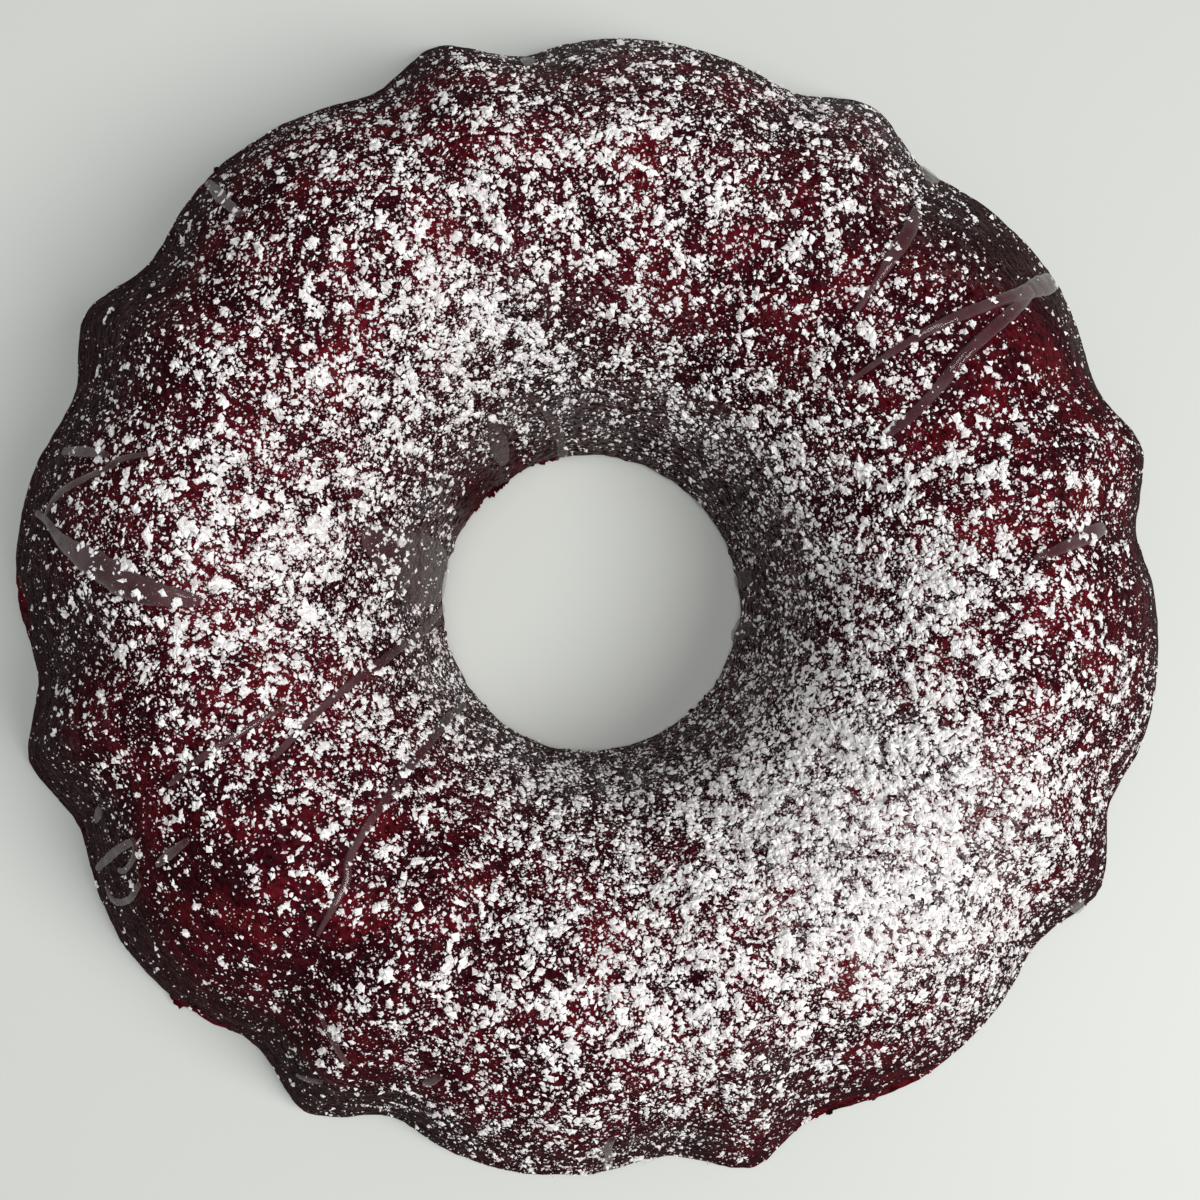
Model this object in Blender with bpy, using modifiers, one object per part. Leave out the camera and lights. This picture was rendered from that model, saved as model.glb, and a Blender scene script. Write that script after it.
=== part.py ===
"""A fluted ring cake, as it stands after being turned out of its mould.

Eight wide round lobes alternate with eight narrow pointed ridges round the outside.
The flutes are deep on the outer wall, run shallow over the crown and die out in the
centre hole. The base is flat. Metres, +Z up, origin at the middle of the base.
"""

import math

import bpy
import bmesh
from mathutils import Vector

# Driving dimensions of the plain ring, through the middle of a lobe.
BASE_RADIUS = 0.1209
HEIGHT = 0.084
HOLE_RADIUS = 0.0311
CROWN_RADIUS = 0.074

# How far each wall leans towards the crown over the full height, and how square its shoulder is.
OUTER_LEAN = 0.024
OUTER_SQUARENESS = 2.4
INNER_LEAN = 0.007
INNER_SQUARENESS = 3.0
BASE_ROUNDING = 0.0045

# Flutes: one lobe and one ridge in each repeat. Depths are from a lobe's middle to the valley beside it.
REPEATS = 8
RIDGE_ANGLE = math.radians(15.6)
RIDGE_HALF_WIDTH = math.radians(8.4)
RIDGE_HEIGHT = 1.45
RIDGE_TIP_ROUNDING = 0.07
RIDGE_HOLLOWNESS = 1.2
LOBE_ROUNDNESS = 2.2
WALL_FLUTE = 0.0048
CROWN_FLUTE = 0.0027
CROWN_FLUTE_FADE = 3.0

# How uneven the baked ring is: size in metres, waves per turn, phase in radians.
WALL_WAVES = ((0.0007, 1, 1.39), (0.0006, 2, 2.59), (0.0002, 3, -2.80), (0.0002, 4, -1.19))
CROWN_WAVES = ((0.0010, 1, 2.1), (0.0006, 3, 0.4))
FLUTE_WAVES = ((0.10, 1, 3.6), (0.07, 3, 1.3))

# Facets.
STEPS_ROUND = 144
OUTER_STEPS = 12
INNER_STEPS = 11
ROUNDING_STEPS = 3
MERGE = 0.0001

CRUST_COLOUR = (0.085, 0.012, 0.016, 1.0)
CRUST_ROUGHNESS = 0.78
SHARP_EDGE = math.radians(50)


def clear_scene():
    for obj in list(bpy.data.objects):
        bpy.data.objects.remove(obj, do_unlink=True)


def blend(a, b, share):
    return a + (b - a) * share


def wall_point(foot, lean, squareness, share):
    """A point of the section on the way from the crown, at share 0, to a wall's foot, at share 1."""
    turn = share * math.pi / 2
    rise = max(0.0, math.cos(turn)) ** (2 / squareness)
    side = math.copysign(1, foot - CROWN_RADIUS)
    bulge = abs(foot - CROWN_RADIUS) - lean
    return CROWN_RADIUS + side * (bulge * math.sin(turn) + lean * (1 - rise)), HEIGHT * rise


def ring_section():
    """The section through a lobe's middle: down the outside, round the base's edge and up the hole."""
    outside = [
        wall_point(BASE_RADIUS, OUTER_LEAN, OUTER_SQUARENESS, i / OUTER_STEPS) for i in range(OUTER_STEPS)
    ]
    edge = []
    for i in range(ROUNDING_STEPS + 1):
        turn = i / ROUNDING_STEPS * math.pi / 2
        edge.append(
            (BASE_RADIUS - BASE_ROUNDING * (1 - math.cos(turn)), BASE_ROUNDING * (1 - math.sin(turn)))
        )
    hole = [
        wall_point(HOLE_RADIUS, INNER_LEAN, INNER_SQUARENESS, 1 - i / INNER_STEPS)
        for i in range(INNER_STEPS)
    ]
    return outside + edge + hole


def turned_ring():
    """The plain ring: its section turned about Z from a ridge's tip by a Screw modifier, as a mesh."""
    section = ring_section()
    count = len(section)
    mesh = bpy.data.meshes.new("ring_section")
    mesh.from_pydata(
        [(r * math.cos(RIDGE_ANGLE), r * math.sin(RIDGE_ANGLE), z) for r, z in section],
        [(i, (i + 1) % count) for i in range(count)],
        [],
    )
    outline = bpy.data.objects.new("ring_section", mesh)
    bpy.context.scene.collection.objects.link(outline)
    screw = outline.modifiers.new("turn", "SCREW")
    screw.axis = "Z"
    screw.steps = STEPS_ROUND
    screw.render_steps = STEPS_ROUND
    screw.use_merge_vertices = True
    screw.merge_threshold = MERGE
    graph = bpy.context.evaluated_depsgraph_get()
    ring = bpy.data.meshes.new_from_object(outline.evaluated_get(graph))
    bpy.data.objects.remove(outline, do_unlink=True)
    bpy.data.meshes.remove(mesh)
    ring.name = "bundt_cake"
    return ring


def waves(terms, angle):
    return sum(size * math.sin(count * angle + phase) for size, count, phase in terms)


def flute(angle):
    """How far the flutes stand out: 0 in a valley, 1 on a lobe's middle, RIDGE_HEIGHT on a ridge."""
    half_repeat = math.pi / REPEATS
    from_ridge = abs((angle - RIDGE_ANGLE + half_repeat) % (2 * half_repeat) - half_repeat)
    if from_ridge > RIDGE_HALF_WIDTH:
        from_lobe = (half_repeat - from_ridge) / (half_repeat - RIDGE_HALF_WIDTH)
        return 1 - from_lobe**LOBE_ROUNDNESS
    drop = math.hypot(from_ridge / RIDGE_HALF_WIDTH, RIDGE_TIP_ROUNDING) - RIDGE_TIP_ROUNDING
    whole_drop = math.hypot(1, RIDGE_TIP_ROUNDING) - RIDGE_TIP_ROUNDING
    return RIDGE_HEIGHT * (1 - drop / whole_drop) ** RIDGE_HOLLOWNESS


def flute_depth(r, rise):
    """Full on the outer wall, shallower over the crown and gone at the foot of the hole."""
    if r > CROWN_RADIUS:
        return blend(WALL_FLUTE, CROWN_FLUTE, rise**2)
    return CROWN_FLUTE * rise**CROWN_FLUTE_FADE


def press_flutes(ring):
    """Moves the ring's points to the flutes, sideways at the base and upwards at the crown, unevenly."""
    for vertex in ring.vertices:
        x, y, z = vertex.co
        r = math.hypot(x, y)
        angle = math.atan2(y, x)
        rise = z / HEIGHT
        up = rise**2
        sideways = math.copysign(math.sqrt(max(0.0, 1 - up**2)), r - CROWN_RADIUS)
        push = flute_depth(r, rise) * (flute(angle) - 1) * (1 + waves(FLUTE_WAVES, angle))
        outside = max(0.0, r - CROWN_RADIUS) / (BASE_RADIUS - CROWN_RADIUS)
        r += sideways * push + outside * waves(WALL_WAVES, angle)
        z += up * (push + waves(CROWN_WAVES, angle))
        vertex.co = (r * math.cos(angle), r * math.sin(angle), z)


def centre_on_base(ring):
    """Moves the ring so that its box is centred over the origin, with the base at Z = 0."""
    low = Vector([min(v.co[axis] for v in ring.vertices) for axis in range(3)])
    high = Vector([max(v.co[axis] for v in ring.vertices) for axis in range(3)])
    shift = Vector(((low.x + high.x) / 2, (low.y + high.y) / 2, low.z))
    for vertex in ring.vertices:
        vertex.co -= shift


def face_outwards(ring):
    shape = bmesh.new()
    shape.from_mesh(ring)
    bmesh.ops.remove_doubles(shape, verts=shape.verts, dist=MERGE / 10)
    bmesh.ops.recalc_face_normals(shape, faces=shape.faces)
    shape.to_mesh(ring)
    shape.free()


def crust_material():
    material = bpy.data.materials.new("crust")
    material.use_nodes = True
    shader = material.node_tree.nodes["Principled BSDF"]
    shader.inputs["Base Color"].default_value = CRUST_COLOUR
    shader.inputs["Roughness"].default_value = CRUST_ROUGHNESS
    shader.inputs["Metallic"].default_value = 0.0
    return material


def bundt_cake(collection):
    ring = turned_ring()
    press_flutes(ring)
    centre_on_base(ring)
    face_outwards(ring)
    ring.shade_smooth()
    ring.set_sharp_from_angle(angle=SHARP_EDGE)
    ring.materials.append(crust_material())
    cake = bpy.data.objects.new("bundt_cake", ring)
    collection.objects.link(cake)
    return cake


def main():
    clear_scene()
    collection = bpy.data.collections.new("bundt_cake")
    bpy.context.scene.collection.children.link(collection)
    bundt_cake(collection)


main()
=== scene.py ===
# %% [markdown]
# # A dark red bundt cake with icing sugar and glaze
#
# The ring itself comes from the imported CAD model, which fixes its size and place. Everything that
# makes it look baked is added here: the porous crust, thin drizzles of clear glaze, icing sugar
# that has fallen on it in flakes and specks, and loose crumbs at its foot. Lengths are in metres.

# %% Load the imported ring
import math

import bmesh
import bpy
import numpy as np
from mathutils import Matrix, Vector, noise
from mathutils.bvhtree import BVHTree


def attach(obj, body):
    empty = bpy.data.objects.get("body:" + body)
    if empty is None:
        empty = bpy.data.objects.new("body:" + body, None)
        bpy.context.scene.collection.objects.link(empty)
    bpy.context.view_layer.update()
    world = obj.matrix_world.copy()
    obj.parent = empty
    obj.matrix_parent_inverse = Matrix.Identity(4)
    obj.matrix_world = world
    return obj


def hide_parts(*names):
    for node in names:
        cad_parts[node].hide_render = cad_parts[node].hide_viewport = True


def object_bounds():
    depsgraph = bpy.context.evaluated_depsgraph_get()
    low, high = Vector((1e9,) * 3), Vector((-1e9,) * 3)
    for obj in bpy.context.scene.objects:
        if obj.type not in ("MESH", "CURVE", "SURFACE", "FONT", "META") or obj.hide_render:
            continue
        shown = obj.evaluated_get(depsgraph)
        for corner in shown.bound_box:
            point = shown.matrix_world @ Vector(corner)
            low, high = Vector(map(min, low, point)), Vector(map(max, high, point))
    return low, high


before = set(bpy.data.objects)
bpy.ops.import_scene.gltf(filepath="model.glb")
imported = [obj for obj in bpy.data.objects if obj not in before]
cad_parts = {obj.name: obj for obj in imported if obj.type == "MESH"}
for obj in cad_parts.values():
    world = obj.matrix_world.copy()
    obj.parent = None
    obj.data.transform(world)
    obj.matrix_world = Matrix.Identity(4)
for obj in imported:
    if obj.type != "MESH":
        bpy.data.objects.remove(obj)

cad_low, cad_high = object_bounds()
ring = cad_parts["bundt_cake"]
MM = 0.001
print("ring", [round(side / MM, 1) for side in cad_high - cad_low], "mm")

# %% [markdown]
# ## Camera, light and floor
#
# The cake is seen from almost straight above, a little left of and below its middle, so the hole's
# right wall shows more than its left. The light is soft, like a bright room: a wide window high on the
# lower right, which leaves a soft shadow on the left, a weaker lamp overhead, which reaches down
# into the hole, and a pale world all round. A Standard view transform keeps the dark reds as deep
# as they are, where the default one greys them.

# %% Camera
CAMERA_PLACE = Vector((-22 * MM, -18 * MM, 430 * MM))
CAMERA_AIM = Vector((1.14 * MM, 0.27 * MM, 0))
CAMERA_ANGLE = math.radians(32.9)

camera_data = bpy.data.cameras.new("camera")
camera_data.angle = CAMERA_ANGLE
camera_data.clip_start = 10 * MM
camera_data.clip_end = 10
camera = bpy.data.objects.new("camera", camera_data)
camera.location = CAMERA_PLACE
sight = (CAMERA_AIM - CAMERA_PLACE).normalized()
across = sight.cross(Vector((0, 1, 0))).normalized()
upward = across.cross(sight)
camera.rotation_euler = Matrix((across, upward, -sight)).transposed().to_euler()
bpy.context.scene.collection.objects.link(camera)
bpy.context.scene.camera = camera
bpy.context.scene.view_settings.view_transform = "Standard"

# %% Light
WORLD_COLOUR = (0.90, 0.95, 1.0)
WORLD_STRENGTH = 0.28


def soft_light(name, place, size, power, colour):
    data = bpy.data.lights.new(name, "AREA")
    data.shape = "DISK"
    data.size = size
    data.energy = power
    data.color = colour
    light = bpy.data.objects.new(name, data)
    light.location = place
    light.rotation_euler = (-Vector(place)).to_track_quat("-Z", "Y").to_euler()
    bpy.context.scene.collection.objects.link(light)


# Each: place in metres, width in metres, power in watts, colour.
soft_light("window", (0.52, -0.23, 1.04), 0.55, 9.5, (1.0, 0.99, 0.96))
soft_light("ceiling", (-0.08, 0.06, 1.24), 0.5, 4.6, (1.0, 0.99, 0.97))
world = bpy.data.worlds.new("pale room")
world.use_nodes = True
world.node_tree.nodes["Background"].inputs["Color"].default_value = (*WORLD_COLOUR, 1)
world.node_tree.nodes["Background"].inputs["Strength"].default_value = WORLD_STRENGTH
bpy.context.scene.world = world

# %% Floor
FLOOR_COLOUR = (0.62, 0.64, 0.61)
FLOOR_SIZE = 6.0


def plain_material(name, colour, roughness):
    material = bpy.data.materials.new(name)
    material.use_nodes = True
    shader = material.node_tree.nodes["Principled BSDF"]
    shader.inputs["Base Color"].default_value = (*colour, 1)
    shader.inputs["Roughness"].default_value = roughness
    return material, shader


bpy.ops.mesh.primitive_plane_add(size=FLOOR_SIZE, location=(0, 0, cad_low.z))
floor = bpy.context.object
floor.name = "floor"
floor.data.materials.append(plain_material("floor", FLOOR_COLOUR, 0.5)[0])

# %% [markdown]
# ## The crust's shape
#
# A cake turned out of a metal mould has the mould's form, but its skin is uneven: soft swellings a
# few centimetres across, a crumb that stands proud in grains, burst air bubbles, and a foot and a
# hole edge that crumbled. Bump mapping alone would leave the outline as smooth as the mould's, so
# the larger unevenness is real geometry. The CAD ring is welded, smoothed by a Subdivision Surface
# and remeshed into even quads small enough to carry the grain, and each point is then moved along
# its normal by seeded noise.

# %% Weld, smooth and remesh the ring
CRUST_CELL = 1.3 * MM
WELD = 0.01 * MM
SMOOTHING = 2


def applied(obj):
    """The object's mesh with its modifiers applied, as a new mesh."""
    graph = bpy.context.evaluated_depsgraph_get()
    return bpy.data.meshes.new_from_object(obj.evaluated_get(graph))


def smooth_ring():
    shape = bmesh.new()
    shape.from_mesh(ring.data)
    bmesh.ops.remove_doubles(shape, verts=shape.verts, dist=WELD)
    bmesh.ops.join_triangles(
        shape, faces=shape.faces, angle_face_threshold=math.pi, angle_shape_threshold=math.pi
    )
    crease = shape.edges.layers.float.new("crease_edge")
    for edge in shape.edges:
        edge[crease] = float(all(vertex.co.z < cad_low.z + WELD for vertex in edge.verts))
    mesh = bpy.data.meshes.new("crust")
    shape.to_mesh(mesh)
    shape.free()
    obj = bpy.data.objects.new("cake_crust", mesh)
    bpy.context.scene.collection.objects.link(obj)
    soften = obj.modifiers.new("soften", "SUBSURF")
    soften.levels = SMOOTHING
    soften.render_levels = SMOOTHING
    remesh = obj.modifiers.new("even quads", "REMESH")
    remesh.mode = "VOXEL"
    remesh.voxel_size = CRUST_CELL
    obj.data = applied(obj)
    obj.modifiers.clear()
    return obj


crust = smooth_ring()
print("crust", len(crust.data.vertices), "points,", 2 * len(crust.data.polygons), "triangles")

# %% [markdown]
# Places on the ring are given as a baker would point at them: how far round it, in degrees from
# the right, and how far over it, in degrees from the crown: 90 is level with the outer wall's
# middle, and -90 is the hole's wall. A ray from inside the ring finds the crust in that direction.

# %% Find a place on the crust
CORE_RADIUS = 76 * MM
CORE_HEIGHT = 36 * MM


def tree_of(mesh):
    return BVHTree.FromPolygons([v.co for v in mesh.vertices], [p.vertices for p in mesh.polygons])


def core_point(around):
    turn = math.radians(around)
    return Vector((CORE_RADIUS * math.cos(turn), CORE_RADIUS * math.sin(turn), CORE_HEIGHT))


def on_crust(tree, around, over):
    """The crust's point and normal at a place given in degrees round and degrees over the ring."""
    turn, lean = math.radians(around), math.radians(over)
    ray = Vector((math.sin(lean) * math.cos(turn), math.sin(lean) * math.sin(turn), math.cos(lean)))
    point, normal, _, _ = tree.ray_cast(core_point(around), ray)
    return point, normal


plain_tree = tree_of(crust.data)
for over in (-90, -45, 0, 45, 90):
    place, _ = on_crust(plain_tree, 0, over)
    print("over", over, [round(c / MM, 1) for c in place])

# %% [markdown]
# The relief is a sum of moves along the normal, each with a size a baker would recognise. The
# swellings come from uneven rising, the grain is the crumb itself, and bubbles are Voronoi cells
# of which only a few are open. A crumbled foot and a crumbled hole edge are notches that fade out
# above the base. A few deeper holes and one crease lie where they happened to bake. In some places
# the crust tore off just above the foot, which leaves a ragged ledge of bare crumb there.

# %% Sizes of the relief
SWELLING = (34 * MM, 0.55 * MM)
LUMPS = (9 * MM, 0.32 * MM)
GRAIN = (3.1 * MM, 0.24 * MM)
BUBBLE = (5.5 * MM, 0.28, 0.55 * MM)
CRUMBLE = (6 * MM, 7 * MM, 1.1 * MM)
BASE_FLAT = 1.2 * MM
# Holes: degrees round, degrees over, radius, depth.
HOLES = (
    (268, -6, 1.7 * MM, 3.0 * MM),
    (323, -41, 1.2 * MM, 2.2 * MM),
    (327, -27, 1.1 * MM, 2.0 * MM),
    (321, -22, 1.5 * MM, 2.6 * MM),
    (292, -22, 1.0 * MM, 1.8 * MM),
    (95, 20, 1.0 * MM, 1.6 * MM),
    (200, 35, 1.0 * MM, 1.6 * MM),
    (30, 60, 1.1 * MM, 1.7 * MM),
)
CREASE = ((286, -55), (283, -31), (281, -10), (281, 20), (282, 48))
CREASE_WIDTH = 0.9 * MM
CREASE_DEPTH = 1.3 * MM
# Torn stretches of the foot: degrees round, degrees to each side, height in mm.
TORN = (
    (299, 16, 17),
    (284, 4, 10),
    (331, 3, 9),
    (181, 5, 15),
    (204, 3, 9),
    (213, 2, 8),
    (227, 5, 11),
    (133, 3, 9),
    (141, 3, 8),
)
TORN_DEPTH = 3.0 * MM
TORN_LEDGE = (5.5 * MM, 9.0 * MM)
TORN_GRAIN = (2.6 * MM, 0.35 * MM)
GRID = 256


# %% Relief functions
def smooth_step(low, high, value):
    share = min(1.0, max(0.0, (value - low) / (high - low)))
    return share * share * (3 - 2 * share)


def swirl(point, size, shift=0.0):
    return noise.noise(point / size + Vector((shift, shift, shift)))


def bubble_depth(point):
    size, reach, depth = BUBBLE
    distances, centres = noise.voronoi(point / size)
    is_open = noise.cell(centres[0] * 7.3) > 0.45
    return depth * (1 - smooth_step(0, reach, distances[0])) if is_open else 0.0


def near_line(point, line):
    """How far a point lies from a broken line."""
    best = math.inf
    for a, b in zip(line, line[1:]):
        share = min(1.0, max(0.0, (point - a).dot(b - a) / (b - a).length_squared))
        best = min(best, (point - a - share * (b - a)).length)
    return best


def crumble_depth(point):
    size, reach, depth = CRUMBLE
    fade = 1 - smooth_step(0, reach, point.z)
    return depth * fade * max(0.0, swirl(point, size, 40) + 0.5 * swirl(point, size / 3, 50))


def numbers(mesh, kind):
    values = np.empty(len(mesh.vertices) * 3)
    mesh.vertices.foreach_get(kind, values)
    return values.reshape(-1, 3).T


def patchy(x, y, size, seed):
    """Random values that change smoothly over this length, with a spread of about 1."""
    grid = np.random.default_rng(seed).normal(size=(GRID, GRID))
    u, v = np.mod(x / size, GRID), np.mod(y / size, GRID)
    i, j = u.astype(int) % GRID, v.astype(int) % GRID
    s, t = u - np.floor(u), v - np.floor(v)
    s, t = s * s * (3 - 2 * s), t * t * (3 - 2 * t)
    near = grid[i, j] * (1 - s) + grid[(i + 1) % GRID, j] * s
    far = grid[i, (j + 1) % GRID] * (1 - s) + grid[(i + 1) % GRID, (j + 1) % GRID] * s
    return near * (1 - t) + far * t


def torn(x, y, z):
    """1 where the crust tore off at the foot, fading out at a ragged edge."""
    around = np.degrees(np.arctan2(y, x))
    along = np.radians(around) * CORE_RADIUS
    ragged = patchy(along, z, 2.6 * MM, 71) + 0.6 * patchy(along, z, 1.2 * MM, 72)
    bare = np.zeros(len(z))
    for middle, aside, high in TORN:
        away = ((around - middle + 180) % 360 - 180) / aside
        inside = 1 - away**2 - z / (high * MM) + 0.22 * ragged
        bare = np.maximum(bare, np.clip(1.8 * inside, 0, 1))
    return bare * (np.hypot(x, y) > CORE_RADIUS)


def relief(point, holes, crease):
    """How far the crust moves out along its normal at a point."""
    move = SWELLING[1] * swirl(point, SWELLING[0], 10)
    move += LUMPS[1] * swirl(point, LUMPS[0], 20)
    move += GRAIN[1] * (swirl(point, GRAIN[0], 30) + 0.5 * swirl(point, GRAIN[0] / 2, 35))
    move -= bubble_depth(point) + crumble_depth(point)
    for centre, radius, depth in holes:
        away = (point - centre).length
        if away < 2 * radius:
            move -= depth * (1 - smooth_step(0.3 * radius, 1.3 * radius, away))
    away = near_line(point, crease)
    return move - CREASE_DEPTH * (1 - smooth_step(0, 2 * CREASE_WIDTH, away))


# %% Roughen the crust
def roughen(mesh):
    holes = [(on_crust(plain_tree, a, o)[0], radius, depth) for a, o, radius, depth in HOLES]
    crease = [on_crust(plain_tree, a, o)[0] for a, o in CREASE]
    points = [vertex.co.copy() for vertex in mesh.vertices]
    normals = [vertex.normal.copy() for vertex in mesh.vertices]
    bare = torn(*numbers(mesh, "co"))
    for vertex, point, normal, share in zip(mesh.vertices, points, normals, bare):
        if point.z < cad_low.z + BASE_FLAT and normal.z < -0.6:
            vertex.co.z = cad_low.z
            continue
        lost = TORN_DEPTH * smooth_step(*TORN_LEDGE, point.z)
        lost += TORN_GRAIN[1] * swirl(point, TORN_GRAIN[0], 60)
        moved = point + normal * (relief(point, holes, crease) - share * lost)
        moved.z = max(moved.z, cad_low.z)
        vertex.co = moved
    mesh.update()


roughen(crust.data)
crust_tree = tree_of(crust.data)

# %% [markdown]
# Nobody sees the underside, which stands flat on its plate, so its thousands of small quads are
# dissolved into a few large faces. That leaves more triangles for what shows. The points go in as
# a list, because a set has no fixed order and the base would come out different each time.

# %% Simplify the underside
FLAT_ANGLE = math.radians(0.5)


def simplify_base(mesh):
    shape = bmesh.new()
    shape.from_mesh(mesh)
    shape.normal_update()
    flat = [v for v in shape.verts if v.co.z < cad_low.z + WELD and v.normal.z < -0.99]
    known = set(flat)
    edges = [e for e in shape.edges if e.verts[0] in known and e.verts[1] in known]
    bmesh.ops.dissolve_limit(shape, angle_limit=FLAT_ANGLE, verts=flat, edges=edges)
    bmesh.ops.triangulate(shape, faces=[f for f in shape.faces if len(f.verts) > 4])
    shape.to_mesh(mesh)
    shape.free()


simplify_base(crust.data)
crust.data.shade_smooth()
print("crust", sum(len(p.vertices) - 2 for p in crust.data.polygons), "triangles")

# %% [markdown]
# ## Where the sugar fell
#
# Icing sugar is shaken through a sieve, so it falls straight down. Level places near the crown keep
# most of it, the leaning outer wall keeps a little, and a tap on the sieve drops a patch. One
# function says how much of the crust it hides at a place seen from above. The crust's own colour
# uses it for the finest dust, and the flakes further down are scattered by it.

# %% How much of the crust the sugar hides
# Distance from the middle in mm, and the share that the sugar hides there.
SIEVED = (
    (30, 0.55), (36, 0.57), (44, 0.54), (53, 0.415), (62, 0.36),
    (72, 0.31), (84, 0.258), (94, 0.20), (104, 0.10), (112, 0.045), (122, 0.02),
)
# Patches: degrees round, distance from the middle and size in mm, and how much more or less.
PATCHES = (
    (315, 70, 33, 0.365),
    (335, 88, 18, 0.05),
    (300, 92, 16, -0.02),
    (276, 76, 17, 0.14),
    (334, 50, 14, 0.06),
    (300, 48, 10, 0.08),
    (0, 56, 10, 0.20),
    (172, 58, 16, 0.15),
    (180, 82, 14, 0.12),
    (118, 56, 12, 0.24),
    (90, 78, 9, 0.21),
    (105, 74, 10, 0.04),
    (102, 60, 20, -0.06),
    (60, 68, 20, -0.08),
    (62, 48, 12, -0.14),
    (90, 50, 10, -0.08),
    (240, 52, 9, -0.12),
    (356, 74, 12, -0.04),
    (0, 90, 12, -0.10),
    (270, 90, 12, -0.10),
    (255, 70, 10, 0.05),
    (32, 80, 24, -0.155),
    (222, 78, 24, -0.18),
    (150, 98, 18, -0.09),
    (348, 112, 36, 0.05),
    (310, 114, 26, 0.07),
    (80, 110, 26, 0.03),
    (120, 110, 16, 0.07),
    (36, 108, 22, -0.26),
    (268, 110, 26, 0.14),
    (302, 112, 18, -0.08),
    (2, 110, 20, -0.10),
    (332, 108, 20, -0.05),
    (190, 116, 40, -0.04),
    (299, 121, 10, -0.10),
    (110, 32, 2.2, -0.50),
    (121, 32, 2.5, -0.60),
    (132, 32.5, 2.8, -0.62),
    (143, 33, 3.2, -0.62),
    (151, 32, 2.5, -0.50),
)


def patches_at(x, y, patches):
    """The sum at a place of round patches that are strongest at their middles and fade outwards."""
    total = np.zeros(np.shape(x))
    for around, out, size, amount in patches:
        turn = math.radians(around)
        away = np.hypot(x / MM - out * math.cos(turn), y / MM - out * math.sin(turn))
        total += amount * np.exp(-((away / size) ** 2))
    return total


def sugar_cover(x, y):
    sieved = np.interp(np.hypot(x, y) / MM, *zip(*SIEVED))
    return np.clip(sieved + patches_at(x, y, PATCHES), 0.015, 0.93)


# %% [markdown]
# ## The crust's colour
#
# Inside, the cake is a deep red. It is a dark brown on the outer wall, round the hole and in a few
# patches, and browner on the left of the outer wall than on its lower right. Where crumbs tore off
# at the foot the bright red shows. Those three masks follow the shape, so they are stored on the
# points of the mesh as attributes, which a material can read and which need no unwrapping.

# %% Masks on the crust
# Browner or redder patches: degrees round, distance from the middle and size in mm, and how much more or
# less.
BROWNED = (
    (45, 105, 23, 1.4),
    (150, 108, 20, 0.6),
    (288, 92, 13, 0.55),
    (250, 112, 12, 0.2),
    (184, 96, 9, 0.7),
    (207, 108, 11, 0.7),
    (108, 52, 14, 0.35),
    (22, 84, 22, -0.5),
    (286, 112, 7, -0.8),
    (141, 32.5, 4, -0.30),
    (120, 32, 3, -0.25),
    (32, 112, 12, 0.8),
    (20, 114, 12, 0.4),
    (300, 114, 24, -0.4),
    (264, 114, 16, -0.3),
    (340, 114, 20, -0.3),
    (165, 114, 32, 0.35),
    (206, 114, 32, 0.35),
    (240, 114, 20, 0.3),
    (222, 84, 30, -0.6),
    (128, 88, 20, -0.35),
    (70, 84, 20, -0.3),
)
# Pale stretches: degrees round, distance and size in mm, and how pale. On the outer wall at the top
# and right they are partly real sugar dust and partly painted light; in the hole they take film away.
DUST_AND_PAINTED_LIGHT = (
    (62, 111, 20, 0.11),
    (92, 111, 20, 0.10),
    (30, 113, 14, 0.06),
    (0, 113, 16, 0.04),
    (139, 33, 5, -0.12),
    (120, 33, 4, -0.10),
)


def browning(x, y, over):
    brown = 0.10 + 0.55 * np.clip((over - 45) / 40, 0, 1) + 0.4 * np.clip((-22 - over) / 35, 0, 1)
    return np.clip(brown + patches_at(x, y, BROWNED), 0, 1)


def dust_film_and_painted_light(x, y):
    """A pale film of the finest sugar, in the hole and under thick patches, and on part of the outer wall,
    where it is partly painted light.
    """
    hole = 0.13 * np.clip((41 - np.hypot(x, y) / MM) / 4, 0, 1)
    thick = 0.38 * np.clip((patches_at(x, y, PATCHES) - 0.2) / 0.5, 0, 1)
    return np.clip(0.006 + hole + thick + patches_at(x, y, DUST_AND_PAINTED_LIGHT), 0, 1)


def paint(mesh, name, values):
    layer = mesh.attributes.new(name, "FLOAT", "POINT")
    layer.data.foreach_set("value", np.asarray(values, np.float32))


def paint_crust(mesh):
    x, y, z = numbers(mesh, "co")
    over = np.degrees(np.arctan2(np.hypot(x, y) - CORE_RADIUS, z - CORE_HEIGHT))
    paint(mesh, "browned", browning(x, y, over))
    paint(mesh, "torn", torn(x, y, z))
    paint(mesh, "sugar", sugar_cover(x, y))
    paint(mesh, "film", dust_film_and_painted_light(x, y))


paint_crust(crust.data)

# %% [markdown]
# The crumb is a shader node group, because the loose crumbs use it too. It mixes the deep red with
# a brighter one in soft mottles, lays the browning over it by the mask, paints shade into the pores
# by darkening them, and gives the height of the grain for the Bump node that stays in each material.

# %% Helpers for node groups
def new_group(name, inputs, outputs):
    """A shader node group with named sockets, and its input and output nodes."""
    group = bpy.data.node_groups.new(name, "ShaderNodeTree")
    for title, kind in inputs.items():
        group.interface.new_socket(title, in_out="INPUT", socket_type=kind)
    for title, kind in outputs.items():
        group.interface.new_socket(title, in_out="OUTPUT", socket_type=kind)
    return group, group.nodes.new("NodeGroupInput").outputs, group.nodes.new("NodeGroupOutput").inputs


def wire(tree, socket, value):
    """Links a socket to another one, or sets it to a plain value."""
    if isinstance(value, bpy.types.NodeSocket):
        tree.links.new(value, socket)
    else:
        socket.default_value = value


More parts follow.
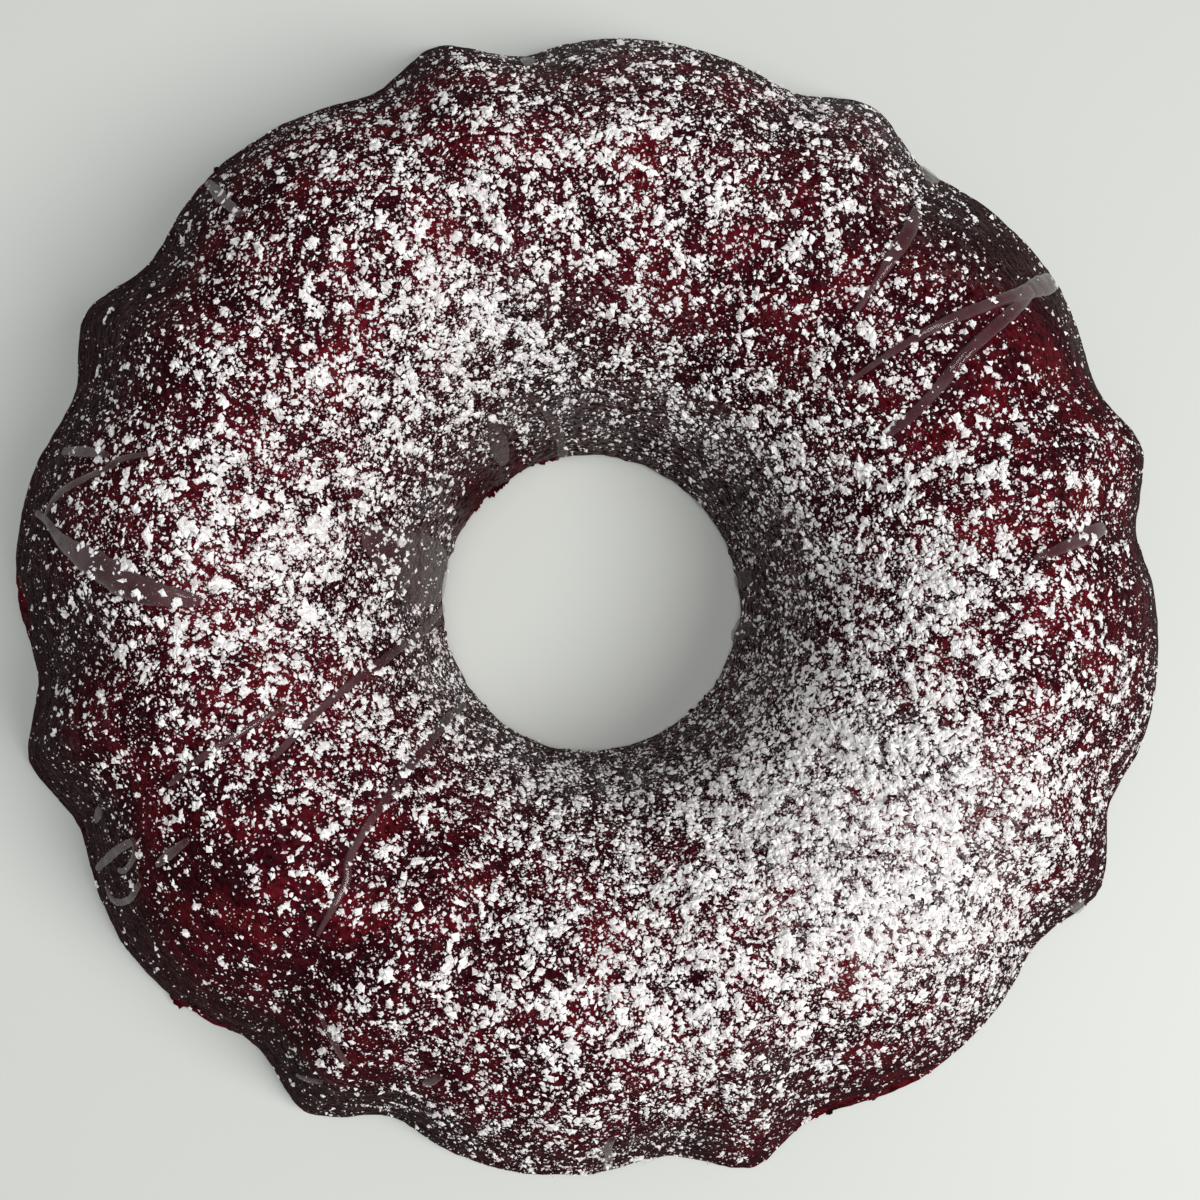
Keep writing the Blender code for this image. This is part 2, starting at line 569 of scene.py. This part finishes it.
def maths(tree, operation, first, second):
    node = tree.nodes.new("ShaderNodeMath")
    node.operation = operation
    wire(tree, node.inputs[0], first)
    wire(tree, node.inputs[1], second)
    return node.outputs[0]


def plus(tree, first, second):
    return maths(tree, "ADD", first, second)


def minus(tree, first, second):
    return maths(tree, "SUBTRACT", first, second)


def times(tree, first, second):
    return maths(tree, "MULTIPLY", first, second)


def ramp(tree, value, low, high):
    """0 below low, 1 above high, and a smooth rise between."""
    node = tree.nodes.new("ShaderNodeMapRange")
    node.interpolation_type = "SMOOTHSTEP"
    wire(tree, node.inputs["Value"], value)
    wire(tree, node.inputs["From Min"], low)
    wire(tree, node.inputs["From Max"], high)
    return node.outputs["Result"]


def mixed(tree, share, first, second, way="MIX"):
    node = tree.nodes.new("ShaderNodeMix")
    node.data_type = "RGBA"
    node.blend_type = way
    wire(tree, node.inputs["Factor"], share)
    wire(tree, node.inputs["A"], first)
    wire(tree, node.inputs["B"], second)
    return node.outputs["Result"]


def mottle(tree, place, size, detail=2.0, roughness=0.5):
    """Noise whose swells are about this long, in metres."""
    node = tree.nodes.new("ShaderNodeTexNoise")
    wire(tree, node.inputs["Vector"], place)
    node.inputs["Scale"].default_value = 1 / size
    node.inputs["Detail"].default_value = detail
    node.inputs["Roughness"].default_value = roughness
    return node.outputs["Fac"]


def pores(tree, place, size):
    """Distance to the nearest pore, in pores."""
    node = tree.nodes.new("ShaderNodeTexVoronoi")
    wire(tree, node.inputs["Vector"], place)
    node.inputs["Scale"].default_value = 1 / size
    return node.outputs["Distance"]


def flattened(tree, place, times):
    """A place stretched upwards, so that what it carries is drawn out along the surface's rings."""
    node = tree.nodes.new("ShaderNodeVectorMath")
    node.operation = "MULTIPLY"
    wire(tree, node.inputs[0], place)
    node.inputs[1].default_value = (1, 1, times)
    return node.outputs[0]


def place_on(tree):
    return tree.nodes.new("ShaderNodeTexCoord").outputs["Object"]


def attribute(tree, name):
    node = tree.nodes.new("ShaderNodeAttribute")
    node.attribute_name = name
    return node.outputs["Fac"]


# %% Crumb group
# Near-black for the insides of open pores: painted shade.
PAINTED_PORE_SHADE = (0.006, 0.001, 0.0015, 1)


def crumb_group():
    group, given, gives = new_group(
        "Crumb",
        {"Deep": "NodeSocketColor", "Bright": "NodeSocketColor", "Brown": "NodeSocketColor",
         "Tan": "NodeSocketColor", "Browned": "NodeSocketFloat", "Torn": "NodeSocketFloat"},
        {"Colour": "NodeSocketColor", "Height": "NodeSocketFloat"},
    )
    place = place_on(group)
    broad = mottle(group, place, 11 * MM, 2.0)
    fine = mottle(group, place, 1.3 * MM, 3.0, 0.7)
    streak = mottle(group, flattened(group, place, 3.0), 4.6 * MM, 2.0, 0.7)
    freckle = mottle(group, place, 0.5 * MM, 0.0)
    glow = plus(group, times(group, broad, 0.55), times(group, fine, 0.45))
    glow = plus(group, glow, times(group, given["Torn"], 0.12))
    red = mixed(group, ramp(group, glow, 0.42, 0.66), given["Deep"], given["Bright"])
    skin = plus(group, given["Browned"], times(group, minus(group, broad, 0.5), 1.1))
    skin = plus(group, skin, times(group, minus(group, fine, 0.5), 0.8))
    skin = minus(group, skin, times(group, given["Torn"], 2.0))
    speckle = plus(group, times(group, streak, 0.6), times(group, fine, 0.4))
    scorched = mixed(group, ramp(group, speckle, 0.47, 0.66), given["Brown"], given["Tan"])
    scorched = mixed(group, times(group, ramp(group, freckle, 0.60, 0.70), 0.7), scorched, given["Tan"])
    baked = mixed(group, ramp(group, skin, 0.2, 0.85), red, scorched)
    # Open pores are darkened towards near-black: painted shade inside them.
    open_pore = ramp(group, pores(group, place, 1.7 * MM), 0.36, 0.16)
    dark = mixed(group, times(group, open_pore, 0.5), baked, PAINTED_PORE_SHADE)
    wire(group, gives["Colour"], dark)
    grain = minus(group, times(group, fine, 1.2), times(group, open_pore, 0.7))
    grain = plus(group, grain, times(group, times(group, streak, given["Browned"]), 0.7))
    wire(group, gives["Height"], grain)
    return group


crumb = crumb_group()

# %% [markdown]
# The finest sugar is dust that no mesh can hold: specks of a few tenths of a millimetre, and a pale
# film where they lie close; on the outer wall at the top and right that film is partly painted light.
# The group gives a mask for them, from the cover on the points and from how level the surface is.

# %% Fallen dust group
def fallen_dust_group():
    group, given, gives = new_group(
        "Fallen dust",
        {"Cover": "NodeSocketFloat", "Film": "NodeSocketFloat"},
        {"Mask": "NodeSocketFloat"},
    )
    place = place_on(group)
    split = group.nodes.new("ShaderNodeSeparateXYZ")
    wire(group, split.inputs[0], group.nodes.new("ShaderNodeNewGeometry").outputs["Normal"])
    level = ramp(group, split.outputs["Z"], -0.1, 0.9)
    speck = mottle(group, place, 0.42 * MM, 1.0)
    gather = mottle(group, place, 3.5 * MM, 1.0)
    amount = times(group, given["Cover"], plus(group, level, 0.35))
    amount = times(group, amount, plus(group, gather, 0.35))
    limit = minus(group, 0.74, times(group, amount, 0.20))
    specks = ramp(group, speck, limit, plus(group, limit, 0.06))
    film = times(group, given["Film"], ramp(group, mottle(group, place, 1.2 * MM, 1.0), 0.35, 0.7))
    wire(group, gives["Mask"], maths(group, "MAXIMUM", times(group, specks, 0.5), film))
    return group


fallen_dust = fallen_dust_group()


# %% Crust material
RED_DEEP = (0.022, 0.0014, 0.0038, 1)
RED_BRIGHT = (0.105, 0.0040, 0.0084, 1)
BROWN = (0.0155, 0.0036, 0.0048, 1)
TAN = (0.084, 0.048, 0.049, 1)
SUGAR_WHITE = (0.92, 0.90, 0.895, 1)


def use_group(tree, group, **values):
    node = tree.nodes.new("ShaderNodeGroup")
    node.node_tree = group
    for title, value in values.items():
        wire(tree, node.inputs[title], value)
    return node.outputs


def bumpy(tree, shader, height, depth):
    bump = tree.nodes.new("ShaderNodeBump")
    bump.inputs["Distance"].default_value = depth
    wire(tree, bump.inputs["Height"], height)
    wire(tree, shader.inputs["Normal"], bump.outputs["Normal"])


def crust_finish():
    material, shader = plain_material("crust", RED_DEEP[:3], 0.8)
    tree = material.node_tree
    shader.inputs["Specular IOR Level"].default_value = 0.01
    baked = use_group(tree, crumb, Deep=RED_DEEP, Bright=RED_BRIGHT, Brown=BROWN, Tan=TAN,
                      Browned=attribute(tree, "browned"), Torn=attribute(tree, "torn"))
    # The film attribute carries sugar dust and, on the outer wall at the top and right, painted light.
    dust = use_group(tree, fallen_dust, Cover=attribute(tree, "sugar"), Film=attribute(tree, "film"))
    wire(tree, shader.inputs["Base Color"], mixed(tree, dust["Mask"], baked["Colour"], SUGAR_WHITE))
    bumpy(tree, shader, baked["Height"], 0.5 * MM)
    return material


crust.data.materials.append(crust_finish())
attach(crust, "root")
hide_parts("bundt_cake")

# %% [markdown]
# ## Drizzles of glaze
#
# A thin glaze was drizzled back and forth across the ring, so it lies in strands from the hole to
# the rim, turns back in rounded loops and ends in drips that stopped on the wall. It has set clear
# and a little mauve. Each strand is a ribbon: a smooth line through a few places on the ring, with a
# domed section that thins to its edges, laid on the crust and sunk into it along both sides.

# %% Routes of the drizzles
# Each point: degrees round, degrees over, half width in mm.
DRIZZLES = (
    ((35.0, 98, 2.2), (35.0, 66, 2.5), (35.2, 46, 2.5), (35.7, 21, 1.7), (37, 5, 1.25),
     (38.6, -5, 1.1), (40, -16, 0.8), (41.3, -32, 0.5)),
    ((35.5, 30, 1.7), (34.6, 12, 1.5), (34, 1, 1.3), (33, -7, 1.2), (31.4, -13, 1.2), (29.5, -22, 1.0),
     (28.5, -30, 0.7)),
    ((51.3, 15, 1.1), (50.4, 6, 1.6), (49.9, -3, 1.5), (49.4, -8, 0.8), (48.6, -17, 0.6)),
    ((52.5, 108, 2.2), (52.2, 92, 2.7), (52, 70, 1.4), (51.8, 50, 0.8)),
    ((133.2, 121, 1.2), (134.3, 80, 1.5), (134.8, 54, 1.3), (135.1, 32, 0.9)),
    ((165.6, 82, 1.0), (165.6, 50, 1.4), (165.7, 27, 0.7)),
    ((164.8, 10, 0.5), (166, 20, 0.7), (167.5, 27, 0.8), (168.8, 42, 0.9), (170.3, 62, 1.0),
     (172.5, 80, 0.8)),
    ((171.9, 99, 0.9), (173, 74, 1.1), (175, 52, 1.6), (176.6, 36, 2.6), (178.3, 22, 3.4),
     (181, 8, 2.9), (183, -6, 1.2)),
    ((208.5, 118, 1.0), (208.2, 90, 1.2), (208, 66, 1.1), (208.2, 46, 0.9), (209.6, 52, 0.8),
     (210.2, 68, 0.8), (209.8, 80, 0.8)),
    ((210.4, 106, 0.9), (211.6, 110, 1.0), (212.6, 98, 1.0), (212.9, 76, 0.9), (212.2, 56, 0.7)),
    ((211.0, 14, 0.7), (211.3, 24, 1.1), (211.6, 34, 0.8)),
    ((204.3, 100, 0.7), (203.7, 90, 1.2), (203.0, 76, 0.9)),
    ((218.5, -104, 0.9), (218.7, -76, 1.1), (220.7, -53, 1.1), (221.9, -39, 1.0), (225.2, -15, 0.9),
     (228, -8, 0.8), (229.6, 4, 0.6)),
    ((182.8, -128, 1.0), (190.8, -97, 1.2), (195.8, -67, 1.1), (201, -38, 0.9), (207.2, -12, 0.7)),
    ((172.5, -126, 5.0), (172.5, -107, 7.6), (172.2, -86, 8.0), (170.5, -66, 5.8), (168, -48, 2.2)),
    ((113.2, -66, 0.6), (109.6, -77, 0.9), (105.7, -99, 1.2), (102.5, -126, 1.5)),
    ((124, -70, 1.0), (125, -86, 2.2), (125.4, -98, 2.4), (125.6, -112, 1.2)),
    ((327.0, 98, 0.9), (327.3, 112, 2.0), (327.4, 122, 1.4)),
    ((270.4, 60, 0.8), (270.2, 78, 1.0), (270.6, 98, 1.1), (271, 122, 1.3)),
    ((98.6, 70, 0.7), (98.1, 92, 1.7), (97.9, 112, 1.4)),
    ((6.9, 22, 1.3), (6.2, 14, 1.9), (5, 5, 1.4), (3.2, -5, 0.8)),
    ((236, 27, 0.6), (238.4, 30, 0.9), (241, 37, 0.6)),
    ((250.6, 30, 0.8), (250, 38, 1.2), (249.4, 44, 0.7)),
    ((237.5, 98, 0.6), (238.6, 84, 0.9), (239.8, 68, 0.7)),
    ((200.5, -22, 0.5), (203, 2, 0.8), (204.5, 14, 0.6)),
    ((8.4, -112, 1.4), (8.1, -122, 2.1), (7.9, -130, 1.6)),
    ((349.0, -112, 1.6), (348.6, -126, 2.5), (348.4, -133, 2.0)),
)
GLAZE_STEP = 0.8 * MM
GLAZE_THICKNESS = 0.62 * MM
GLAZE_LIFT = 0.25 * MM
GLAZE_SUNK = 0.9 * MM
GLAZE_CLEAR = 0.05 * MM
SECTION = 10


# %% Lay the ribbons
def between(a, b, c, d, share):
    """A point of the smooth curve from b to c, with a and d beyond them."""
    curve = 3 * (b - c) + d - a
    return b + 0.5 * share * (c - a + share * (2 * a - 5 * b + 4 * c - d + share * curve))


def spine(route):
    """Even steps along a drizzle: places on the smooth ring, half widths, and how high the crust is."""
    stops = [Vector(stop) for stop in route]
    stops = [2 * stops[0] - stops[1], *stops, 2 * stops[-1] - stops[-2]]
    dense = [between(*stops[i : i + 4], n / 24) for i in range(len(stops) - 3) for n in range(24)]
    dense.append(stops[-2])
    places = [(on_crust(plain_tree, stop.x, stop.y), stop.z * MM) for stop in dense]
    run = [(place, normal, width) for (place, normal), width in places if place]
    kept = [run[0]]
    for step in run[1:]:
        if (step[0] - kept[-1][0]).length >= GLAZE_STEP:
            kept.append(step)
    rise = np.array([crust_rise(place, normal) for place, normal, _ in kept])
    rise = np.convolve(np.pad(rise, 3, "edge"), np.full(7, 1 / 7), "valid")
    return [(*step, height) for step, height in zip(kept, rise)]


def crust_rise(place, normal):
    """How far the rough crust stands out from the smooth ring."""
    found, _, _, _ = crust_tree.ray_cast(place + normal * 4 * MM, -normal, 10 * MM)
    return (found - place).dot(normal) if found else 0.0


def rounded(distance, width):
    """Share of the full width that a round end has at this distance from its tip."""
    share = min(1.0, distance / width)
    return math.sqrt(max(0.0, 1 - (1 - share) ** 2))


def section(place, normal, aside, width, height, rise):
    """Points across the ribbon, over its dome and back under the crust."""
    over, under = [], []
    for n in range(SECTION + 1):
        u = 2 * n / SECTION - 1
        start = place + aside * u * width + normal * 4 * MM
        found, facing, _, _ = plain_tree.ray_cast(start, -normal, 12 * MM)
        found, facing = (found, facing) if found else (place + aside * u * width, normal)
        dome = math.sqrt(max(0.0, 1 - u**4))
        over.append(found + facing * (dome * (height + GLAZE_LIFT + GLAZE_SUNK) - GLAZE_SUNK + rise))
        if n in (SECTION // 4, SECTION // 2, SECTION - SECTION // 4):
            under.append(found + facing * (rise - 1.5 * GLAZE_SUNK))
    points = over + under[::-1]
    for point in points:
        point.z = max(point.z, cad_low.z + GLAZE_CLEAR)
    return points


def ribbon(shape, route, chance):
    run = spine(route)
    total = sum((b[0] - a[0]).length for a, b in zip(run, run[1:]))
    gone, rings = 0.0, []
    for i, (place, normal, width, rise) in enumerate(run):
        gone += (place - run[i - 1][0]).length if i else 0.0
        ahead = (run[min(i + 1, len(run) - 1)][0] - run[max(i - 1, 0)][0]).normalized()
        aside = normal.cross(ahead).normalized()
        wander = 1 + 0.16 * noise.noise(Vector((gone / (3 * MM), chance, 0)))
        end = rounded(min(gone, total - gone) + 0.1 * MM, width)
        full = width * wander * end
        height = GLAZE_THICKNESS * min(1.6, math.sqrt(width / (1.3 * MM))) * end * (0.5 + 0.5 * abs(normal.z))
        rings.append([shape.verts.new(point) for point in section(place, normal, aside, full, height, rise)])
    around = len(rings[0])
    edge = shape.verts.layers.float["edge"]
    level = shape.verts.layers.float["level"]
    for verts, (_, normal, _, _) in zip(rings, run):
        for n, vert in enumerate(verts):
            # The edge attribute rises towards each side of the strand; the glaze material paints a rim
            # highlight with it.
            vert[edge] = abs(2 * n / SECTION - 1) ** 2.5 if n <= SECTION else 1.0
            vert[level] = max(0.0, normal.z)
    for first, second in zip(rings, rings[1:]):
        for n in range(around):
            after = (n + 1) % around
            shape.faces.new((first[n], first[after], second[after], second[n]))
    shape.faces.new(rings[0][::-1])
    shape.faces.new(rings[-1])


def drizzle():
    shape = bmesh.new()
    shape.verts.layers.float.new("edge")
    shape.verts.layers.float.new("level")
    for n, route in enumerate(DRIZZLES):
        ribbon(shape, route, 3.7 * n)
    bmesh.ops.triangulate(shape, faces=[face for face in shape.faces if len(face.verts) > 4])
    bmesh.ops.recalc_face_normals(shape, faces=shape.faces)
    mesh = bpy.data.meshes.new("glaze_drizzles")
    shape.to_mesh(mesh)
    shape.free()
    mesh.shade_smooth()
    obj = bpy.data.objects.new("glaze_drizzles", mesh)
    bpy.context.scene.collection.objects.link(obj)
    return obj


glaze = drizzle()
print("glaze", len(DRIZZLES), "drizzles,", sum(len(p.vertices) - 2 for p in glaze.data.polygons), "triangles")

# %% [markdown]
# The glaze is clear enough for the red to show through it, so it is a glossy surface with a partly
# transparent alpha: a refracting glass would need a solid block of crust below it to look right.
# Its own colour is a pale mauve, from the crumb that it dissolved. Towards a strand's edges it is
# painted paler and a little more opaque, as a painted rim highlight, and it is clearer on the steep
# wall, where it ran thin.

# %% Glaze material
GLAZE_THIN = (0.122, 0.040, 0.048, 1)
GLAZE_CLOUDY = (0.150, 0.080, 0.088, 1)
# A paler mauve for the strands' edges: a painted rim highlight.
GLAZE_RIM_HIGHLIGHT = (0.150, 0.094, 0.100, 1)


def glaze_finish():
    material, shader = plain_material("glaze", GLAZE_THIN[:3], 0.05)
    tree = material.node_tree
    shader.inputs["Specular IOR Level"].default_value = 0.45
    place = place_on(tree)
    cloudy = ramp(tree, mottle(tree, place, 6 * MM, 1.0), 0.35, 0.7)
    edge = attribute(tree, "edge")
    milky = mixed(tree, cloudy, GLAZE_THIN, GLAZE_CLOUDY)
    # Towards the edges the colour turns paler and the glaze more opaque: a painted rim highlight.
    milky = mixed(tree, edge, milky, GLAZE_RIM_HIGHLIGHT)
    wire(tree, shader.inputs["Base Color"], milky)
    thick = plus(tree, 0.42, times(tree, plus(tree, edge, cloudy), 0.11))
    runny = plus(tree, 0.45, times(tree, ramp(tree, attribute(tree, "level"), 0.1, 0.6), 0.55))
    thick = times(tree, thick, runny)
    wire(tree, shader.inputs["Alpha"], thick)
    bumpy(tree, shader, mottle(tree, place, 4.0 * MM, 0.0), 0.1 * MM)
    return material


glaze.data.materials.append(glaze_finish())
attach(glaze, "root")

# %% [markdown]
# ## Icing sugar
#
# Icing sugar is cornflour-fine, but it leaves the sieve in crumbly lumps, so it lies as flakes of
# many sizes: lumps of two millimetres, flakes of one, single specks, and dust. All of it must be
# real mesh here, because it stands proud and catches the light. Each grain is an eight-sided
# block whose corners are pushed in and out at random, so its faces are flat and its edges crisp.
# Lumps are many blocks dropped close together. Where the glaze was still wet most of the sugar
# dissolved. Thousands of grains become one mesh, made from arrays in one go.

# %% Drop places for the sugar
def sieve(count, favour, clumping, seed):
    """Places in plan, more of them where more sugar fell. Favour above 1 keeps to the thick patches."""
    chance = np.random.default_rng(seed)
    half = max(cad_high.x, cad_high.y)
    x, y = chance.uniform(-half, half, (2, 14 * count))
    thick = (-np.log(1 - sugar_cover(x, y))) ** favour * np.exp(clumping * patchy(x, y, 2.6 * MM, 5))
    keep = chance.uniform(0, np.quantile(thick, 0.995), 14 * count) < thick
    keep &= np.hypot(x, y) > 0.95 * hole_radius
    return x[keep][:count], y[keep][:count]


hole_radius = min(math.hypot(v.co.x, v.co.y) for v in ring.data.vertices)
print("hole radius", round(hole_radius / MM, 1), "mm")


def land(x, y, steepest, on_glaze, seed):
    """Where things dropped at these places come to rest, and which do: others roll off or dissolve."""
    top = cad_high.z + 20 * MM
    down = Vector((0, 0, -1))
    lasts = np.random.default_rng(seed).random(len(x)) < on_glaze
    places, normals = np.zeros((len(x), 3)), np.zeros((len(x), 3))
    landed = np.zeros(len(x), bool)
    for n, (a, b) in enumerate(zip(x, y)):
        place, normal, face, _ = landing_tree.ray_cast(Vector((a, b, top)), down)
        if not place or normal.z < steepest or place.z < cad_low.z + MM:
            continue
        if face < crust_faces or lasts[n]:
            places[n], normals[n], landed[n] = place, normal, True
    return places[landed], normals[landed], landed


def joined_tree(*objects):
    """One tree of several objects' faces."""
    points, faces = [], []
    for obj in objects:
        start = len(points)
        points += [v.co for v in obj.data.vertices]
        faces += [[start + i for i in p.vertices] for p in obj.data.polygons]
    return BVHTree.FromPolygons(points, faces)


landing_tree = joined_tree(crust, glaze)
crust_faces = len(crust.data.polygons)

# %% Blocks of sugar
OCTAHEDRON = (
    np.array([(1, 0, 0), (0, 1, 0), (-1, 0, 0), (0, -1, 0), (0, 0, 1), (0, 0, -1)], float),
    np.array([(0, 1, 4), (1, 2, 4), (2, 3, 4), (3, 0, 4), (1, 0, 5), (2, 1, 5), (3, 2, 5), (0, 3, 5)]),
)
TETRAHEDRON = (
    np.array([(1, 1, 1), (1, -1, -1), (-1, 1, -1), (-1, -1, 1)], float) * 0.75,
    np.array([(0, 1, 2), (0, 3, 1), (0, 2, 3), (1, 3, 2)]),
)
FLATTENED = 0.62
UPRIGHT = 0.8
PALE_SIZE = 0.4 * MM


def frames(normals, chance):
    """Three axes for each grain: one between upright and out of the surface, and two across it."""
    out = normals + (0, 0, UPRIGHT) + chance.normal(0, 0.4, normals.shape)
    out /= np.linalg.norm(out, axis=1, keepdims=True)
    side = np.cross(out, chance.normal(size=out.shape))
    side /= np.linalg.norm(side, axis=1, keepdims=True)
    return np.stack((side, np.cross(out, side), out), axis=2)


def blocks(name, places, normals, sizes, form, seed):
    """One mesh of many uneven blocks, each of its own size and turn."""
    chance = np.random.default_rng(seed)
    corners, faces = form
    count = len(places)
    bent = corners[None] * chance.uniform(0.4, 1.5, (count, len(corners), 1))
    stretch = chance.uniform(0.65, 1.3, (count, 1, 3)) * (1, 1, FLATTENED)
    shaped = bent * stretch * sizes[:, None, None]
    turned = np.einsum("nij,nkj->nki", frames(normals, chance), shaped)
    points = (places[:, None] + turned).reshape(-1, 3)
    points[:, 2] = np.maximum(points[:, 2], cad_low.z + 0.02 * MM)
    start = len(corners) * np.arange(count)[:, None, None]
    mesh = bpy.data.meshes.new(name)
    mesh.from_pydata(points.tolist(), [], (faces[None] + start).reshape(-1, 3).tolist())
    pale = np.clip(sizes / PALE_SIZE, 0, 1) * chance.uniform(0.4, 1, count)
    paint(mesh, "pale", np.repeat(pale, len(corners)))
    obj = bpy.data.objects.new(name, mesh)
    bpy.context.scene.collection.objects.link(obj)
    print(name, count, "grains,", len(mesh.polygons), "triangles")
    return obj


# %% Scatter lumps, flakes, specks and dust
LONG = 1.35
MOST_LARGE = 20000
MOST_SMALL = 39000


def clusters(count, grains, spread, favour, clumping, seed):
    """Places for lumps of several grains: the middle of each is sieved, its grains lie round it."""
    x, y = sieve(count, favour, clumping, seed)
    chance = np.random.default_rng(seed + 1)
    members = chance.integers(*grains, len(x))
    which = np.repeat(np.arange(len(x)), members)
    wide = np.repeat(spread * chance.uniform(0.5, 1.45, len(x)), members)
    turn = np.repeat(chance.uniform(0, math.pi, len(x)), members)
    along, aside = chance.normal(size=(2, len(which))) * wide * (chance.random(len(which)) ** 0.3)
    piled = np.maximum(0, 1 - np.hypot(along, aside) / (1.6 * wide))
    along, aside = LONG * along, aside / LONG
    x = x[which] + along * np.cos(turn) - aside * np.sin(turn)
    return x, y[which] + along * np.sin(turn) + aside * np.cos(turn), piled


def scatter(name, x, y, lift, sizes, form, most, steepest, on_glaze, seed):
    places, normals, landed = land(x, y, steepest, on_glaze, seed + 1)
    steep = 0.75 + 0.25 * normals[:, 2]
    sizes = sizes[landed] * steep
    places = places + normals * (sizes * 0.15 + lift[landed] * steep)[:, None]
    return blocks(name, places[:most], normals[:most], sizes[:most], form, seed)


def sizes_between(low, high, count, seed):
    """Sizes between two bounds, most of them nearer the lower one."""
    return low + (high - low) * np.random.default_rng(seed).random(count) ** 1.7


x, y, piled = clusters(2050, (6, 13), 0.54 * MM, 1.3, 0.45, 11)
sizes = sizes_between(0.37 * MM, 0.83 * MM, len(x), 12)
lumps = scatter("sugar_lumps", x, y, 0.45 * MM * piled, sizes, OCTAHEDRON, MOST_LARGE, 0.30, 0.6, 13)

x, y, piled = clusters(5850, (2, 6), 0.38 * MM, 1.0, 0.45, 21)
sizes = sizes_between(0.30 * MM, 0.71 * MM, len(x), 22)
flakes = scatter("sugar_flakes", x, y, 0.2 * MM * piled, sizes, OCTAHEDRON, MOST_LARGE, 0.06, 0.35, 23)

x, y = sieve(39500, 0.85, 0.4, 31)
sizes = sizes_between(0.20 * MM, 0.52 * MM, len(x), 32)
specks = scatter("sugar_specks", x, y, np.zeros(len(x)), sizes, TETRAHEDRON, MOST_SMALL, 0.05, 0.12, 33)

x, y = sieve(39500, 0.7, 0.5, 41)
sizes = sizes_between(0.13 * MM, 0.32 * MM, len(x), 42)
dust = scatter("sugar_dust", x, y, np.zeros(len(x)), sizes, TETRAHEDRON, MOST_SMALL, 0.03, 0.06, 43)


# %% Sugar material
SUGAR_SMALL = (0.52, 0.45, 0.46, 1)
SUGAR_LARGE = (0.95, 0.94, 0.935, 1)


def sugar_finish():
    material, shader = plain_material("icing sugar", SUGAR_WHITE[:3], 0.92)
    tree = material.node_tree
    shader.inputs["Specular IOR Level"].default_value = 0.15
    place = place_on(tree)
    pale = ramp(tree, attribute(tree, "pale"), 0.05, 0.9)
    wire(tree, shader.inputs["Base Color"], mixed(tree, pale, SUGAR_SMALL, SUGAR_LARGE))
    bumpy(tree, shader, mottle(tree, place, 0.3 * MM, 1.0), 0.15 * MM)
    return material


sugar_material = sugar_finish()
for piece in (lumps, flakes, specks, dust):
    piece.data.materials.append(sugar_material)
    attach(piece, "root")

# %% [markdown]
# ## Loose crumbs
#
# When the cake was turned out and moved, the foot and the edge of the hole lost some crumbs, and a
# few still cling there. They are torn from inside, so they are redder than the crust. Each is a
# small ball with its corners pushed in and out, made by the same block maker as the sugar.

# %% Crumbs at the foot and the hole
# Degrees round, degrees wide, how many, least and most size in mm, and whether at the hole.
CRUMBS = (
    (223.7, 1.0, 5, 0.9, 1.7, False),
    (181.5, 7.0, 8, 0.5, 1.1, False),
    (297.0, 9.0, 16, 0.5, 1.3, False),
    (284.0, 4.0, 5, 0.5, 1.0, False),
    (331.0, 3.0, 4, 0.5, 1.0, False),
    (210.0, 7.0, 6, 0.5, 1.0, False),
    (136.0, 6.0, 5, 0.5, 1.0, False),
    (12.0, 10.0, 6, 0.5, 1.1, False),
    (90.0, 180.0, 40, 0.4, 1.0, False),
    (131.0, 12.0, 7, 0.5, 1.1, True),
    (107.0, 5.0, 4, 0.5, 1.0, True),
    (280.0, 80.0, 6, 0.3, 0.7, True),
)
CRUMB_HEIGHT = 3.0 * MM


def ball():
    """The corners and triangles of a small round ball, as a form for the block maker."""
    shape = bmesh.new()
    bmesh.ops.create_icosphere(shape, subdivisions=2, radius=1)
    corners = np.array([vert.co for vert in shape.verts])
    faces = np.array([[vert.index for vert in face.verts] for face in shape.faces])
    shape.free()
    return corners, faces


def cling():
    """Places on the foot or the hole's edge where crumbs cling, with normals and sizes."""
    chance = np.random.default_rng(61)
    places, normals, sizes = [], [], []
    for around, wide, count, low, high, inside in CRUMBS:
        for _ in range(count):
            turn = math.radians(around + wide * chance.uniform(-1, 1))
            out = Vector((math.cos(turn), math.sin(turn), 0))
            size = chance.uniform(low, high) * MM
            up = Vector((0, 0, cad_low.z + 0.6 * size + chance.random() ** 2 * CRUMB_HEIGHT))
            start = up if inside else up + out * 2 * CORE_RADIUS
            place, _, _, _ = crust_tree.ray_cast(start, out if inside else -out)
            places.append(place)
            normals.append(-out if inside else out)
            sizes.append(size)
    return np.array(places), np.array(normals), np.array(sizes)


crumbs = blocks("red_crumbs", *cling(), ball(), 62)


# %% Crumb material
def crumb_finish():
    material, shader = plain_material("red crumb", RED_BRIGHT[:3], 0.85)
    tree = material.node_tree
    shader.inputs["Specular IOR Level"].default_value = 0.01
    torn_open = use_group(tree, crumb, Deep=RED_DEEP, Bright=RED_BRIGHT, Brown=BROWN, Tan=TAN,
                          Browned=0.0, Torn=0.2)
    wire(tree, shader.inputs["Base Color"], torn_open["Colour"])
    bumpy(tree, shader, torn_open["Height"], 0.3 * MM)
    return material


crumbs.data.shade_smooth()
crumbs.data.materials.append(crumb_finish())
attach(crumbs, "root")
